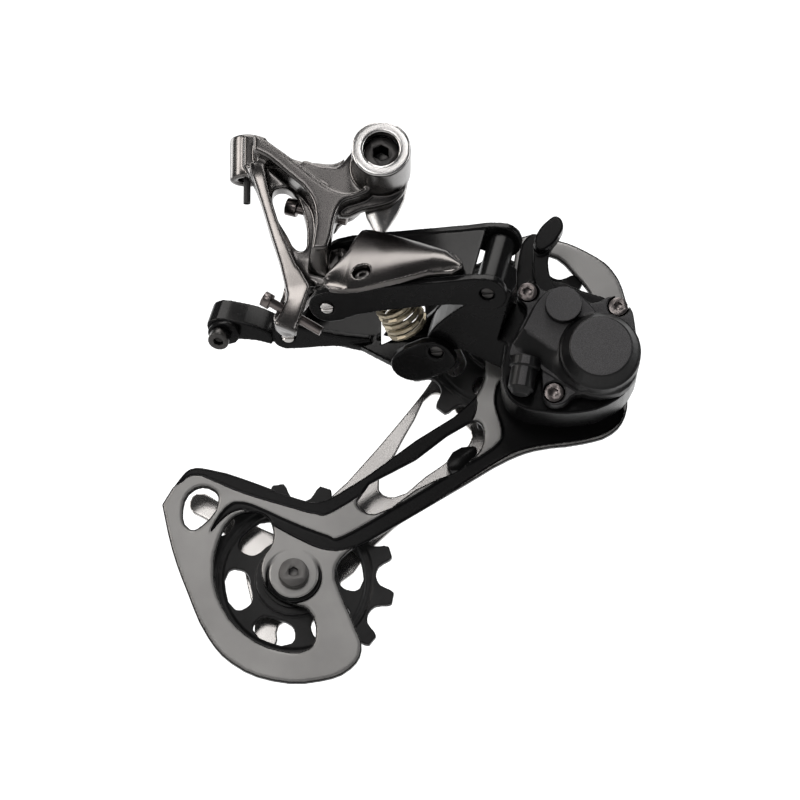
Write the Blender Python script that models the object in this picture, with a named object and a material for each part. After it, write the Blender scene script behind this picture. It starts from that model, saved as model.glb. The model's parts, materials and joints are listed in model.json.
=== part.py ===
"""Rear bicycle derailleur with a slant parallelogram, a clutch and a long cage.

Metres, +Z up. The origin is on the mounting bolt's axis, at the frame hanger's face.
+X points to the front of the bicycle and +Y towards the wheel.
Lengths inside this script are in millimetres and are scaled by MM when meshes are made.
"""
import math

import bmesh
import bpy
from mathutils import Matrix, Vector

MM = 0.001
GAP = 0.3                       # clearance between neighbouring pieces

# Driving dimensions, mm
CAGE_AXIS = Vector((62.1, 0.0, -60.5))       # cage pivot, parallel to Y
GUIDE = Vector((34.9, 12.0, -45.6))          # guide pulley centre
TENSION = Vector((-24.8, 12.0, -119.0))      # tension pulley centre
TEETH = 13
TIP_R = 28.8
ROOT_R = 23.4
PLATE_OUT = (5.6, 7.6)          # Y span of the outer cage plate
PLATE_IN = (16.6, 18.4)         # Y span of the inner cage plate
LEVER_AXIS = Vector((51.8, 0.0, -46.9))      # clutch lever pivot, parallel to Y
BOSS_R = 8.6

# Slanted parallelogram: rear outer pivot, link direction and pin direction
PIVOT_A = Vector((-15.7, -14.0, -46.2))
PIN_DIR = Vector((0.197, 0.496, 0.846)).normalized()
LINK_DIR = Vector((45.4, -15.5, -1.5))
LINK_DIR = (LINK_DIR - LINK_DIR.dot(PIN_DIR) * PIN_DIR).normalized()
SWING_DIR = PIN_DIR.cross(LINK_DIR)
LINK_LEN = 48.0
SIDE = (-20.4, 19.6)            # from an outer pivot to its inner pivot, in the link frame
PIVOTS = {
    "A": (0.0, 0.0),
    "B": (LINK_LEN, 0.0),
    "C": SIDE,
    "D": (LINK_LEN + SIDE[0], SIDE[1]),
}
PIN_R = 1.9
BARREL_R = 4.0
LUG_R = 5.3
COVER_PLANE = (5.9, 7.6)        # the outer link's cover, in the cover frame

# Screws and small fittings
CABLE_SPOT = (-39.3, 6.0)       # cable entry, parallel to Z
B_HEAD = Vector((-27.5, 2.4, -8.6))          # angle-adjusting screw in the bracket
B_TAIL = Vector((-10.0, -0.6, -14.2))
B_WAY = (B_HEAD - B_TAIL).normalized()
FOOT_HEAD = Vector((-34.0, -1.4, -38.2))     # limit screw in the bracket's foot
FOOT_TIP = Vector((-17.2, -1.4, -48.4))
LINK_SCREW = (12.1, 4.8)        # limit screw in the outer link, in the cover frame
COVER_SCREWS = (("cover_screw_top", (41.8, -41.2)), ("cover_screw_front", (67.6, -45.6)),
                ("cover_screw_low", (49.0, -71.4)))
CLAMP = (SIDE[0] - 18.6, SIDE[1] - 5.4)      # cable clamp bolt, parallel to the pins
PLUG = (40.0, -67.6)            # adjuster plug's stem, parallel to Y
PLUG_TOP = Vector((41.2, -15.8, -61.8))
PLUG_END = Vector((39.6, -15.8, -70.6))
STOP_PIN = (45.0, -71.8)        # cage stop pin, parallel to Y

FRONT = Matrix(((1, 0, 0, 0), (0, 0, -1, 0), (0, 1, 0, 0), (0, 0, 0, 1)))
SLANT = Matrix.Identity(4)
COVER = Matrix.Identity(4)
for row in range(3):
    for col, axis in enumerate((LINK_DIR, SWING_DIR, PIN_DIR)):
        SLANT[row][col] = axis[row]
    for col, axis in enumerate((LINK_DIR, PIN_DIR, -SWING_DIR)):
        COVER[row][col] = axis[row]
    SLANT[row][3] = PIVOT_A[row]
    COVER[row][3] = PIVOT_A[row]


# ---------------------------------------------------------------- scene and materials

for old in list(bpy.data.objects):
    bpy.data.objects.remove(old, do_unlink=True)


def collection(name):
    found = bpy.data.collections.get(name) or bpy.data.collections.new(name)
    if found.name not in bpy.context.scene.collection.children:
        bpy.context.scene.collection.children.link(found)
    return found


PARTS = collection("rear_derailleur")
TOOLS = collection("cutters")


def material(name, color, roughness, metallic):
    made = bpy.data.materials.new(name)
    made.use_nodes = True
    shader = made.node_tree.nodes["Principled BSDF"]
    shader.inputs["Base Color"].default_value = (*color, 1.0)
    shader.inputs["Roughness"].default_value = roughness
    shader.inputs["Metallic"].default_value = metallic
    return made


TITANIUM = material("polished_dark", (0.20, 0.19, 0.19), 0.22, 1.0)
BLACK = material("black_paint", (0.02, 0.02, 0.022), 0.32, 0.4)
MATTE = material("matte_black", (0.035, 0.035, 0.037), 0.6, 0.0)
PLATE = material("grey_plate", (0.16, 0.16, 0.16), 0.4, 0.9)
BRIGHT = material("bright_steel", (0.55, 0.53, 0.52), 0.25, 1.0)
NYLON = material("pulley_nylon", (0.05, 0.05, 0.052), 0.5, 0.0)
BRONZE = material("spring_steel", (0.42, 0.37, 0.27), 0.3, 1.0)
STEEL = material("screw_steel", (0.38, 0.34, 0.33), 0.3, 1.0)


# ---------------------------------------------------------------- shape helpers

def place(name, mesh, frame=None, look=None, tool=False):
    """Link a mesh as an object; a tool is a cutter or a piece that a Boolean joins."""
    made = bpy.data.objects.new(name, mesh)
    (TOOLS if tool else PARTS).objects.link(made)
    if frame is not None:
        made.matrix_world = frame
    if look:
        mesh.materials.append(look)
    if tool:
        made.hide_render = True
        made.display_type = "WIRE"
    return made


def scaled(frame):
    moved = frame.copy()
    moved.translation = frame.translation * MM
    return moved


def smooth(mesh):
    mesh.shade_smooth()
    mesh.set_sharp_from_angle(angle=math.radians(35))


def along(start, direction):
    """A frame at start whose z axis runs along direction."""
    turn = Vector(direction).to_track_quat("Z", "Y").to_matrix().to_4x4()
    return Matrix.Translation(Vector(start)) @ turn


def curve_mesh(name, data):
    """Turn curve data into a closed mesh."""
    holder = bpy.data.objects.new(name + "_curve", data)
    TOOLS.objects.link(holder)
    bpy.context.view_layer.update()
    graph = bpy.context.evaluated_depsgraph_get()
    mesh = bpy.data.meshes.new_from_object(holder.evaluated_get(graph))
    bpy.data.objects.remove(holder, do_unlink=True)
    work = bmesh.new()
    work.from_mesh(mesh)
    bmesh.ops.remove_doubles(work, verts=work.verts, dist=0.000002)
    bmesh.ops.recalc_face_normals(work, faces=work.faces)
    work.to_mesh(mesh)
    work.free()
    mesh.materials.clear()
    smooth(mesh)
    return mesh


def prism(name, outlines, span, frame=FRONT, look=None, tool=False, steps=3):
    """A flat outline, with holes, between two heights along the frame's z axis.

    An outline is a list of (x, y) points joined by a smooth line. A point with a third
    value is a sharp corner.
    """
    data = bpy.data.curves.new(name, "CURVE")
    data.dimensions = "2D"
    data.fill_mode = "BOTH"
    data.extrude = (span[1] - span[0]) / 2 * MM
    data.resolution_u = steps
    for outline in outlines:
        spline = data.splines.new("BEZIER")
        spline.bezier_points.add(len(outline) - 1)
        spline.use_cyclic_u = True
        for knot, point in zip(spline.bezier_points, outline):
            kind = "VECTOR" if len(point) > 2 else "AUTO"
            knot.co = (point[0] * MM, point[1] * MM, 0)
            knot.handle_left_type = knot.handle_right_type = kind
    mesh = curve_mesh(name, data)
    middle = scaled(frame) @ Matrix.Translation((0, 0, (span[0] + span[1]) / 2 * MM))
    return place(name, mesh, middle, look, tool)


def sharp(points):
    return [(x, y, 1) for x, y in points]


def plate_y(name, outlines, y_span, look=None, tool=False, steps=3):
    """A prism in the XZ plane between two Y values."""
    return prism(name, outlines, (-y_span[1], -y_span[0]), FRONT, look, tool, steps)


def rod(name, start, end, radius, look=None, tool=False, sides=16, end_radius=None):
    """A cylinder or cone between two points."""
    start, end = Vector(start), Vector(end)
    work = bmesh.new()
    length = (end - start).length
    top = radius if end_radius is None else end_radius
    bmesh.ops.create_cone(work, cap_ends=True, segments=sides, radius1=radius * MM,
                          radius2=top * MM, depth=length * MM)
    mesh = bpy.data.meshes.new(name)
    work.to_mesh(mesh)
    work.free()
    smooth(mesh)
    return place(name, mesh, scaled(along((start + end) / 2, end - start)), look, tool)


def block(name, centre, size, frame=None, look=None, tool=False):
    work = bmesh.new()
    bmesh.ops.create_cube(work, size=1.0)
    bmesh.ops.scale(work, vec=[s * MM for s in size], verts=work.verts)
    mesh = bpy.data.meshes.new(name)
    work.to_mesh(mesh)
    work.free()
    base = frame or Matrix.Identity(4)
    return place(name, mesh, scaled(base @ Matrix.Translation(centre)), look, tool)


def coil(name, frame, radius, wire, turns, pitch, look, per_turn=14):
    """A helix of round wire along the frame's z axis, starting at its origin."""
    data = bpy.data.curves.new(name, "CURVE")
    data.dimensions = "3D"
    data.bevel_depth = wire * MM
    data.bevel_resolution = 1
    data.use_fill_caps = True
    spline = data.splines.new("POLY")
    count = int(turns * per_turn) + 1
    spline.points.add(count - 1)
    for i, point in enumerate(spline.points):
        angle = 2 * math.pi * i / per_turn
        point.co = (radius * math.cos(angle) * MM, radius * math.sin(angle) * MM,
                    pitch * i / per_turn * MM, 1)
    return place(name, curve_mesh(name, data), scaled(frame), look)


def combine(base, tool, operation):
    step = base.modifiers.new(tool.name, "BOOLEAN")
    step.operation = operation
    step.object = tool


def cut(base, *tools):
    for tool in tools:
        combine(base, tool, "DIFFERENCE")


def add(base, *tools):
    for tool in tools:
        combine(base, tool, "UNION")


def pin_point(pivot, height, offset=(0, 0)):
    """World point on a pivot's axis, at a height along the pin."""
    x, y = PIVOTS[pivot]
    return SLANT @ Vector((x + offset[0], y + offset[1], height))


def pin_rod(name, pivot, low, high, radius, look=None, tool=False, sides=16):
    return rod(name, pin_point(pivot, low), pin_point(pivot, high), radius, look, tool, sides)


def y_rod(name, centre, y_span, radius, look=None, tool=False, sides=16):
    x, z = centre[0], centre[-1]
    return rod(name, (x, y_span[0], z), (x, y_span[1], z), radius, look, tool, sides)


def y_ring(name, centre, y_span, inner, outer, look, sides=16):
    made = y_rod(name, centre, y_span, outer, look, False, sides)
    cut(made, y_rod(name + "_bore", centre, (y_span[0] - 1, y_span[1] + 1), inner, None, True, sides))
    return made


def socket_screw(name, tip, head, head_r, shank_r, head_len, look=STEEL, sides=14):
    """A screw from its tip to the top of its head, with a hexagon socket."""
    tip, head = Vector(tip), Vector(head)
    way = (head - tip).normalized()
    seat = head - way * head_len
    made = rod(name, seat, head, head_r, look, False, sides)
    add(made, rod(name + "_shank", tip, seat + way * 0.35, shank_r, None, True, sides))
    cut(made, rod(name + "_socket", head - way * head_len * 0.55, head + way, head_r * 0.5,
                  None, True, 6))
    return made


# ---------------------------------------------------------------- axle mount (root)

def axle_mount():
    bolt = y_rod("mounting_bolt", (0, 0), (-18.5, 9.0), 4.9, STEEL)
    cut(bolt, y_rod("bolt_socket", (0, 0), (-19, -12.5), 2.5, None, True, 6))
    y_ring("axle_bushing", (0, 0), (-17.0, -5.4), 5.2, 6.1, BRIGHT)
    stopper = plate_y("stopper_plate", [
        [(0, 8.2), (-5.8, 5.8), (-8.2, 0), (-5.9, -6.5), (-2.6, -17.5), (-0.2, -19.2),
         (2.0, -17.0), (7.6, -3.6), (5.8, 5.8)]], (-2.9, -0.3), BRIGHT)
    cut(stopper, y_rod("stopper_bore", (0, 0), (-5, 2), 5.2, None, True))
    y_ring("retaining_clip", (0, 0), (-4.9, -3.8), 5.2, 7.0, BRIGHT)


# ---------------------------------------------------------------- bracket

def bracket():
    body = y_rod("bracket", (0, 0), (-22.0, -3.3), BOSS_R, TITANIUM, False, 32)
    web = plate_y("bracket_web", [
        [(-35.5, 12.0, 1), (-31.0, 8.6), (-25.8, 4.7), (-18.5, 3.4), (-13.0, 3.4), (-9.0, 6.5, 1),
         (-4.0, -8.5, 1), (-8.2, -12.6), (-11.4, -14.2), (-13.6, -18.5), (-10.0, -24.5),
         (-8.8, -31.0), (-13.5, -33.6), (-20.6, -35.0), (-22.8, -38.4), (-24.3, -45.8),
         (-25.6, -48.4), (-30.6, -46.3), (-31.0, -44.0), (-27.9, -34.5), (-32.2, -18.5),
         (-36.0, -5.5), (-39.0, 1.0, 1), (-39.0, 12.0, 1)],
        [(-31.5, -5.8), (-28.8, -4.4), (-25.8, -6.0), (-22.6, -12.2), (-21.6, -20.4),
         (-22.4, -23.8), (-24.6, -23.4), (-26.8, -19.8)]], (-2.0, 4.0), None, True)
    ridge = plate_y("bracket_ridge", [
        [(-37.0, 9.0, 1), (-34.6, 7.6), (-26.2, 1.5), (-16.6, -6.5), (-11.8, -8.9), (-7.0, -8.9),
         (-3.0, -7.0), (-3.0, -8.6), (-7.4, -11.0), (-11.0, -12.4), (-13.0, -16.2), (-14.2, -22.5),
         (-15.4, -27.0), (-15.4, -32.4, 1), (-20.8, -30.4, 1), (-19.4, -22.5), (-19.0, -16.2),
         (-20.6, -10.3), (-28.6, -2.3), (-33.0, 1.6), (-37.0, 3.6, 1)]], (-11.5, -1.5), None, True)
    neck = plate_y("bracket_neck", [
        [(-25.0, 1.2), (-13.0, 0.6), (-10.3, 3.0), (-8.2, 6.0, 1), (0, 0, 1), (7.6, -4.0, 1),
         (6.4, -7.6), (3.8, -10.3), (-1.0, -12.0), (-5.4, -13.0), (-10.8, -15.0), (-13.6, -13.0),
         (-16.0, -6.0)]], (-6.4, -3.25), None, True)
    strut = plate_y("bracket_strut", [
        [(-38.5, 1.5, 1), (-36.3, -5.4), (-32.7, -17.6), (-27.8, -34.9), (-27.4, -38.7),
         (-31.0, -46.9, 1), (-24.4, -50.2, 1), (-22.6, -43.7), (-20.2, -36.3), (-18.8, -34.4),
         (-22.6, -32.0), (-26.4, -24.8), (-31.4, -10.8), (-33.6, -0.3), (-33.6, 3.5, 1)]],
        (-7.0, -1.5), None, True)
    head = rod("cable_head", (*CABLE_SPOT, 0.4), (*CABLE_SPOT, 13.6), 5.2, None, True, 32)
    bridge = plate_y("head_bridge", [sharp([(-40, 2.5), (-40, 12.2), (-33.5, 11.4), (-33.5, 1.5)])],
                     (-2.0, 9.5), None, True)
    rear = prism("inner_arm", [sharp([(-3, 2.5), (2.5, -3), (-18.0, 16.9), (-22.8, 22.2)])],
                 (17.2, 23.4), SLANT, None, True)
    add(body, web, neck, ridge, strut, head, bridge,
        pin_rod("barrel_a", "A", 4.0, 24.0, BARREL_R, None, True), rear,
        pin_rod("barrel_c", "C", 17.0, 30.5, BARREL_R, None, True))
    cut(body,
        y_rod("boss_bore", (0, 0), (-17.3, -2), 6.4, None, True),
        y_rod("clip_seat", (0, 0), (-5.2, -2), 7.3, None, True),
        y_rod("boss_mouth", (0, 0), (-23, -17), 5.2, None, True),
        pin_rod("clear_a_top", "A", 24.1, 34.0, 5.9, None, True),
        prism("clear_flange", [sharp([(0, -6.0), (20, -6.0), (20, 20), (-2, 6.0)])], (24.1, 30.0),
              SLANT, None, True),
        pin_rod("clear_c", "C", 11.0, 16.8, 11.5, None, True),
        y_rod("hanger_space", (0, 0), (-3.2, 12), 11.7, None, True, 24),
        pin_rod("bore_a", "A", 2, 26, PIN_R + GAP, None, True),
        pin_rod("bore_c", "C", 13, 32, PIN_R + GAP, None, True),
        rod("head_bore", (*CABLE_SPOT, -2), (*CABLE_SPOT, 16), 2.6, None, True),
        rod("b_screw_bore", B_TAIL - B_WAY, B_HEAD, 1.9, None, True),
        rod("b_head_space", B_HEAD - B_WAY * 3.8, B_HEAD + B_WAY * 3, 3.0, None, True),
        rod("foot_screw_bore", FOOT_TIP, FOOT_HEAD, 1.75, None, True))


def bracket_fittings():
    socket_screw("b_tension_screw", B_TAIL, B_HEAD, 2.6, 1.5, 3.4)
    socket_screw("foot_limit_screw", FOOT_TIP, FOOT_HEAD, 2.3, 1.4, 2.6)
    ferrule = rod("cable_ferrule", (*CABLE_SPOT, 3.0), (*CABLE_SPOT, 12.4), 2.3, MATTE)
    cut(ferrule, rod("ferrule_bore", (*CABLE_SPOT, 2), (*CABLE_SPOT, 14), 1.35, None, True, 12))
    liner = rod("cable_liner", (*CABLE_SPOT, -6.4), (*CABLE_SPOT, 11.0), 1.05, MATTE, False, 12)
    cut(liner, rod("liner_bore", (*CABLE_SPOT, -8), (*CABLE_SPOT, 12), 0.6, None, True, 8))
    link_pin("A", 0.5, 28.2)
    link_pin("C", 13.2, 34.6)


def link_pin(pivot, low, high):
    """A pivot pin with a slot in one end and a clip round the other."""
    made = pin_rod("link_pin_" + pivot.lower(), pivot, low, high, PIN_R, BRIGHT)
    cut(made, block("pin_slot_" + pivot, (*PIVOTS[pivot], low), (6, 0.7, 1.0), SLANT, None, True))
    clip = pin_rod("pin_clip_" + pivot.lower(), pivot, high - 0.9, high - 0.2, 3.3, BRIGHT)
    cut(clip, pin_rod("clip_bore_" + pivot, pivot, high - 3, high + 3, PIN_R + GAP, None, True),
        block("clip_gap_" + pivot, (PIVOTS[pivot][0] + 3.5, PIVOTS[pivot][1], high - 0.5),
              (4, 1.6, 4), SLANT, None, True))


# ---------------------------------------------------------------- links

def lug_bores(body, pivots):
    for pivot in pivots:
        cut(body, pin_rod("lug_bore_" + body.name + pivot, pivot, -5, 40, PIN_R + GAP, None, True))


def outer_link():
    body = prism("outer_link", [[(-5.3, 0), (-3.7, -3.7), (0, -5.3), (10, -5.7, 1), (40, -5.7, 1),
                                 (48, -5.6), (52, -4.0), (53.6, 0), (52, 4.0), (48, 5.6), (42, 3.4),
                                 (24, 2.6), (8, 3.6), (0, 5.3), (-3.7, 3.7)]],
                 (0.9, 3.5), SLANT, BLACK)
    top = prism("link_top", [[(-5.0, 0), (-3.5, -3.5), (0, -5.0), (10, -5.7, 1), (38, -5.7, 1),
                              (48, -5.6), (52, -4.0), (53.6, 0), (52, 4.0), (48, 5.6), (40, 1.6),
                              (24, -1.6), (8, 1.6), (0, 5.0), (-3.5, 3.5)]],
                (24.5, 26.9), SLANT, None, True)
    web = prism("link_web", [sharp([(5.5, 2.0), (5.5, 26.0), (44.5, 26.0), (44.5, 2.0)])],
                (4.4, 5.35), COVER, None, True)
    add(body, top, web)
    lug_bores(body, "AB")
    cut(body, limit_hole(1.4))


def screw_point(height):
    """World point on the outer link's limit screw axis, at a height over the link's plane."""
    return COVER @ Vector((*LINK_SCREW, height))


def limit_hole(radius):
    return rod("limit_hole", screw_point(1), screw_point(12), radius, None, True, 12)


def link_cover():
    cover = prism("outer_link_cover", [[(1.0, 2.2), (6.0, 14.5), (7.4, 26.0), (10.5, 25.9),
                                        (14.0, 24.2), (27.0, 17.8), (36.0, 12.9), (40.5, 8.8),
                                        (41.6, 4.6), (32.0, 3.3), (17.6, 0.2), (8.7, -1.0)]],
                  COVER_PLANE, COVER, TITANIUM)
    cut(cover, limit_hole(2.7))
    socket_screw("link_limit_screw", screw_point(1.4), screw_point(7.9), 2.2, 1.1, 2.0)


def inner_link():
    """Two stepped lug pairs, joined by one web, with the cable arm behind the rear pivot."""
    cx, cy = SIDE
    body = prism("inner_link", [sharp([(cx + 0.5, 33.3), (cx - 0.5, 18.2), (-12.0, 17.6), (0.8, 12.6),
                                       (9.5, 6.0), (16.3, 1.1), (29.5, 1.1), (30.0, 17.1), (8.0, 17.1),
                                       (6.0, 33.3)])], (-26.4, -24.3), COVER, BLACK)
    lobe = [[(17.0, 18.3), (21.0, 16.6), (26.0, 15.4), (29.8, 16.6), (32.2, 20.0), (32.6, 23.5),
             (30.2, 26.2), (25.9, 28.0), (20.0, 29.4), (15.5, 28.2), (13.2, 25.0), (13.8, 21.0)]]
    front = [[(27.6, 14.3), (31.5, 15.8), (32.9, 19.6), (31.5, 24.0), (27.6, 26.2), (15, 26.3, 1),
              (6, 26.3, 1), (6, 23.8), (16, 21.6), (23.4, 17.2)]]
    rear_low = [[(cx, cy - LUG_R), (cx + 5, cy - 2.4), (cx + 14, 20.6), (4, 23.2, 1), (4, 26.3, 1),
                 (1, 26.3, 1), (cx + 12, 24.8), (cx + 2, 24.6), (cx - 3.6, 23.6), (cx - LUG_R, cy),
                 (cx - 3.8, cy - 3.8)]]
    rear = [[(cx, cy - LUG_R), (cx + 5, cy - 1.6), (cx + 14, 23.4), (5.8, 24.0, 1), (5.8, 26.3, 1),
             (cx + 2, 26.3, 1), (cx - 3.6, 24.2), (cx - LUG_R, cy), (cx - 3.8, cy - 3.8)]]
    arm = prism("cable_arm", [[(cx - 5.0, cy + 1.5, 1), (cx - 10, cy - 0.6), (cx - 17, cy - 1.8),
                               (cx - 21.8, cy - 3.0), (cx - 23.0, cy - 6.0), (cx - 21.6, cy - 9.2),
                               (cx - 14, cy - 8.2), (cx - 7.5, cy - 5.2), (cx - 4.2, cy - 2.6, 1)]],
                (12.4, 21.6), SLANT, None, True)
    add(body, prism("front_low", lobe, (0.8, 3.5), SLANT, None, True),
        prism("front_high", front, (15.0, 17.2), SLANT, None, True),
        prism("rear_low", rear_low, (14.0, 16.5), SLANT, None, True),
        prism("rear_high", rear, (31.0, 33.4), SLANT, None, True), arm)
    lug_bores(body, "CD")
    # Room for the cage's pulley and plate, which turn about the cage axis
    cut(body, y_rod("pulley_sweep", CAGE_AXIS, (10.2, 24), 61.0, None, True, 48),
        y_rod("plate_sweep", CAGE_AXIS, (5.1, 24), 49.4, None, True, 48),
        plate_y("pulley_side", [sharp([(0.0, -30), (40, -30), (40, -70), (0.0, -70)])], (9.7, 40),
                None, True))
    cut(body, rod("clamp_bore", clamp_point(4.4), clamp_point(34.4), 1.9, None, True, 14))


def clamp_point(height):
    """World point on the cable clamp bolt's axis, at a height along the pins."""
    return SLANT @ Vector((*CLAMP, height))


def cable_clamp():
    x, y = CLAMP
    plate = prism("cable_clamp_plate", [
        [(x - 3.8, y), (x - 2.7, y - 2.7), (x, y - 3.8), (x + 4.4, y - 2.6), (x + 4.8, y + 2.4),
         (x, y + 3.8), (x - 2.7, y + 2.7)]], (10.6, 12.1), SLANT, BLACK)
    cut(plate, rod("plate_bore", clamp_point(4.4), clamp_point(16.4), 1.9, None, True, 14))
    socket_screw("cable_clamp_bolt", clamp_point(21.0), clamp_point(7.2), 3.1, 1.6, 3.0, STEEL, 18)


def return_spring():
    start = SLANT @ Vector((17.0, 5.2, 9.0))
    coil("return_spring", along(start, SWING_DIR + LINK_DIR * 0.16), 5.6, 0.8, 5.2, 2.1, BRONZE)


# ---------------------------------------------------------------- knuckle and clutch

def knuckle():
    outline = [[(41.0, -37.0), (49.5, -35.0), (58.0, -38.0), (66.5, -41.5), (72.0, -50.0),
                (73.6, -59.0), (71.0, -68.0), (64.5, -73.6), (56.0, -76.0), (46.5, -75.8),
                (38.4, -73.6), (34.6, -67.6), (35.4, -57.0), (38.2, -46.0)]]
    body = plate_y("knuckle_body", outline, (-11.0, 2.3), BLACK)
    arm = prism("knuckle_arm", [[(48, -3.8), (52, 0), (58, 8), (64, 16), (66, 26), (60, 34), (46, 31),
                                 (38, 24.8), (33.0, 21.4), (27.6, 23.5), (24.8, 22.4),
                                 (23.7, 19.6), (24.8, 16.8), (32, 10), (41, 4), (44.4, -1.4)]],
                (4.0, 14.6), SLANT, None, True)
    ear = plate_y("knuckle_ear", [[(38.4, -40.0, 1), (39.4, -28.0), (41.6, -21.8), (44.6, -20.4),
                                   (46.6, -23.6), (46.9, -32.0), (50.0, -38.0, 1)]],
                  (-6.9, 2.2), None, True)
    add(body, arm, ear, pin_rod("barrel_b", "B", 4.0, 24.0, BARREL_R, None, True))
    cut(body,
        y_rod("spring_well", CAGE_AXIS, (-12, 1.2), 9.4, None, True, 28),
        y_rod("axle_hole", CAGE_AXIS, (-5, 6), 3.9, None, True),
        y_rod("guide_bolt_path", CAGE_AXIS, (2.5, 40), 36.5, None, True, 40),
        plate_y("cover_space", [sharp([(38.6, 0), (90, 0), (90, -90), (31, -90), (31, -60), (38.6, -42)])],
                (-45, -11.12), None, True),
        plate_y("behind_knuckle", [sharp([(10, -20), (80, -20), (80, -85), (10, -85)])],
                (4.6, 40), None, True),
        y_rod("lever_well", LEVER_AXIS, (-12, -7.2), 6.6, None, True),
        plate_y("lever_sweep", [sharp([(46.6, -46.0), (42.6, -36.0), (42.6, -24.0), (52, -8), (85, -20),
                                       (72, -40.6), (56.4, -50.8)])], (-12, -7.2), None, True),
        pin_rod("bore_b", "B", 2, 26, PIN_R + GAP, None, True),
        pin_rod("bore_d", "D", 2, 18, PIN_R + GAP, None, True),
        y_rod("plug_bore", PLUG, (-20, -4), 3.8, None, True),
        y_rod("stop_pin_bore", STOP_PIN, (-3, 8), 1.5, None, True, 12))
    for name, spot in COVER_SCREWS:
        cut(body, y_rod(name + "_tap", spot, (-13, -2.5), 1.5, None, True, 12))


def clutch_cover():
    cover = plate_y("clutch_cover", [[
        (38.8, -41.6), (40.4, -38.9), (43.6, -38.4), (46.8, -41.0), (53.0, -40.4), (60.0, -44.6),
        (66.5, -42.4), (70.4, -44.6), (72.6, -54.0), (73.4, -61.0), (70.4, -69.6), (62.0, -72.6),
        (55.0, -72.0), (51.6, -74.8), (46.8, -74.2), (45.6, -68.4), (44.8, -64.4), (38.0, -62.6),
        (36.6, -58.4), (39.6, -51.4), (41.4, -46.4)]], (-15.6, -11.4), MATTE)
    add(cover,
        y_rod("clutch_drum", CAGE_AXIS, (-20.0, -14.0), 11.6, None, True, 36),
        rod("clutch_nose", CAGE_AXIS + Vector((0, -19.5, 0)), CAGE_AXIS + Vector((0, -24.0, 0)),
            11.4, None, True, 36, 8.9),
        plate_y("cover_neck", [[
            (45.6, -43.5), (48.5, -41.4), (53.0, -41.1), (58.0, -44.5), (62.0, -50.0), (64.0, -64.0),
            (58.5, -71.6), (52.0, -68.8), (46.5, -65.2), (41.5, -62.8), (37.6, -62.2), (36.6, -59.4),
            (40.6, -52.5)]], (-18.6, -14.0), None, True))
    cut(cover,
        y_rod("clutch_well", CAGE_AXIS, (-20.5, -11), 9.4, None, True, 32),
        y_rod("cap_well", LEVER_AXIS, (-19.0, -11), 3.6, None, True),
        y_rod("plug_space", PLUG, (-30, -8), 4.0, None, True),
        rod("barrel_space", PLUG_TOP.lerp(PLUG_END, -0.08), PLUG_END.lerp(PLUG_TOP, -0.8), 4.8, None,
            True, 24))
    for name, spot in COVER_SCREWS:
        cut(cover, y_rod(name + "_hole", spot, (-16, -11), 1.8, None, True, 14),
            y_rod(name + "_sink", spot, (-25, -13.0), 3.15, None, True, 18))
        x, z = spot
        socket_screw(name, (x, -3.5, z), (x, -15.3, z), 2.75, 1.15, 2.0)


def clutch_parts():
    y_rod("clutch_cap", LEVER_AXIS, (-21.4, -18.9), 5.3, MATTE, False, 24)
    y_rod("clutch_cam", LEVER_AXIS, (-18.4, -10.6), 2.6, BRIGHT)
    lever = plate_y("clutch_lever", [[
        (49.0, -49.6), (52.0, -51.6), (55.4, -49.8), (56.4, -46.6), (54.0, -42.4), (49.8, -37.6),
        (48.0, -32.0), (48.6, -27.0), (51.8, -21.4), (50.6, -17.6), (47.0, -19.0), (44.2, -23.0),
        (43.6, -29.0), (43.8, -34.6), (45.6, -40.6), (47.6, -46.0)]], (-10.2, -7.8), BLACK)
    add(lever, plate_y("lever_pad", [[
        (44.6, -22.9), (48.0, -18.6), (50.4, -17.4), (52.3, -20.0), (51.4, -22.8), (47.6, -27.2),
        (45.4, -27.8), (44.0, -25.4)]], (-13.4, -8.4), None, True))
    cut(lever, y_rod("lever_bore", LEVER_AXIS, (-14, -5), 1.4, None, True, 12))
    y_ring("roller_clutch", CAGE_AXIS, (-18.0, -10.5), 3.5, 6.2, BRIGHT, 24)
    band = y_ring("friction_band", CAGE_AXIS, (-17.0, -11.6), 6.6, 7.6, BRIGHT, 28)
    cut(band, block("band_gap", (CAGE_AXIS.x - 6.5, -14, CAGE_AXIS.z + 3.8), (4.5, 8, 2.6),
                    None, None, True))
    plug = y_rod("adjuster_plug", PLUG, (-15.0, -5.0), 3.5, MATTE, False, 24)
    add(plug, rod("plug_barrel", PLUG_TOP, PLUG_END, 3.8, None, True, 24),
        rod("plug_nose", PLUG_END.lerp(PLUG_TOP, 0.02), PLUG_END + (PLUG_END - PLUG_TOP) * 0.18, 3.8,
            None, True, 24, 2.2),
        rod("plug_collar", PLUG_TOP.lerp(PLUG_END, -0.02), PLUG_TOP.lerp(PLUG_END, 0.3), 4.4, None,
            True, 24))
    y_rod("cage_stop_pin", STOP_PIN, (-2.6, 5.2), 1.2, BRIGHT, False, 12)
    coil("cage_spring", along(CAGE_AXIS + Vector((0, -8.6, 0)), (0, 1, 0)), 7.4, 0.8, 4, 2.1,
         BRONZE, 12)


# ---------------------------------------------------------------- cage

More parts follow.
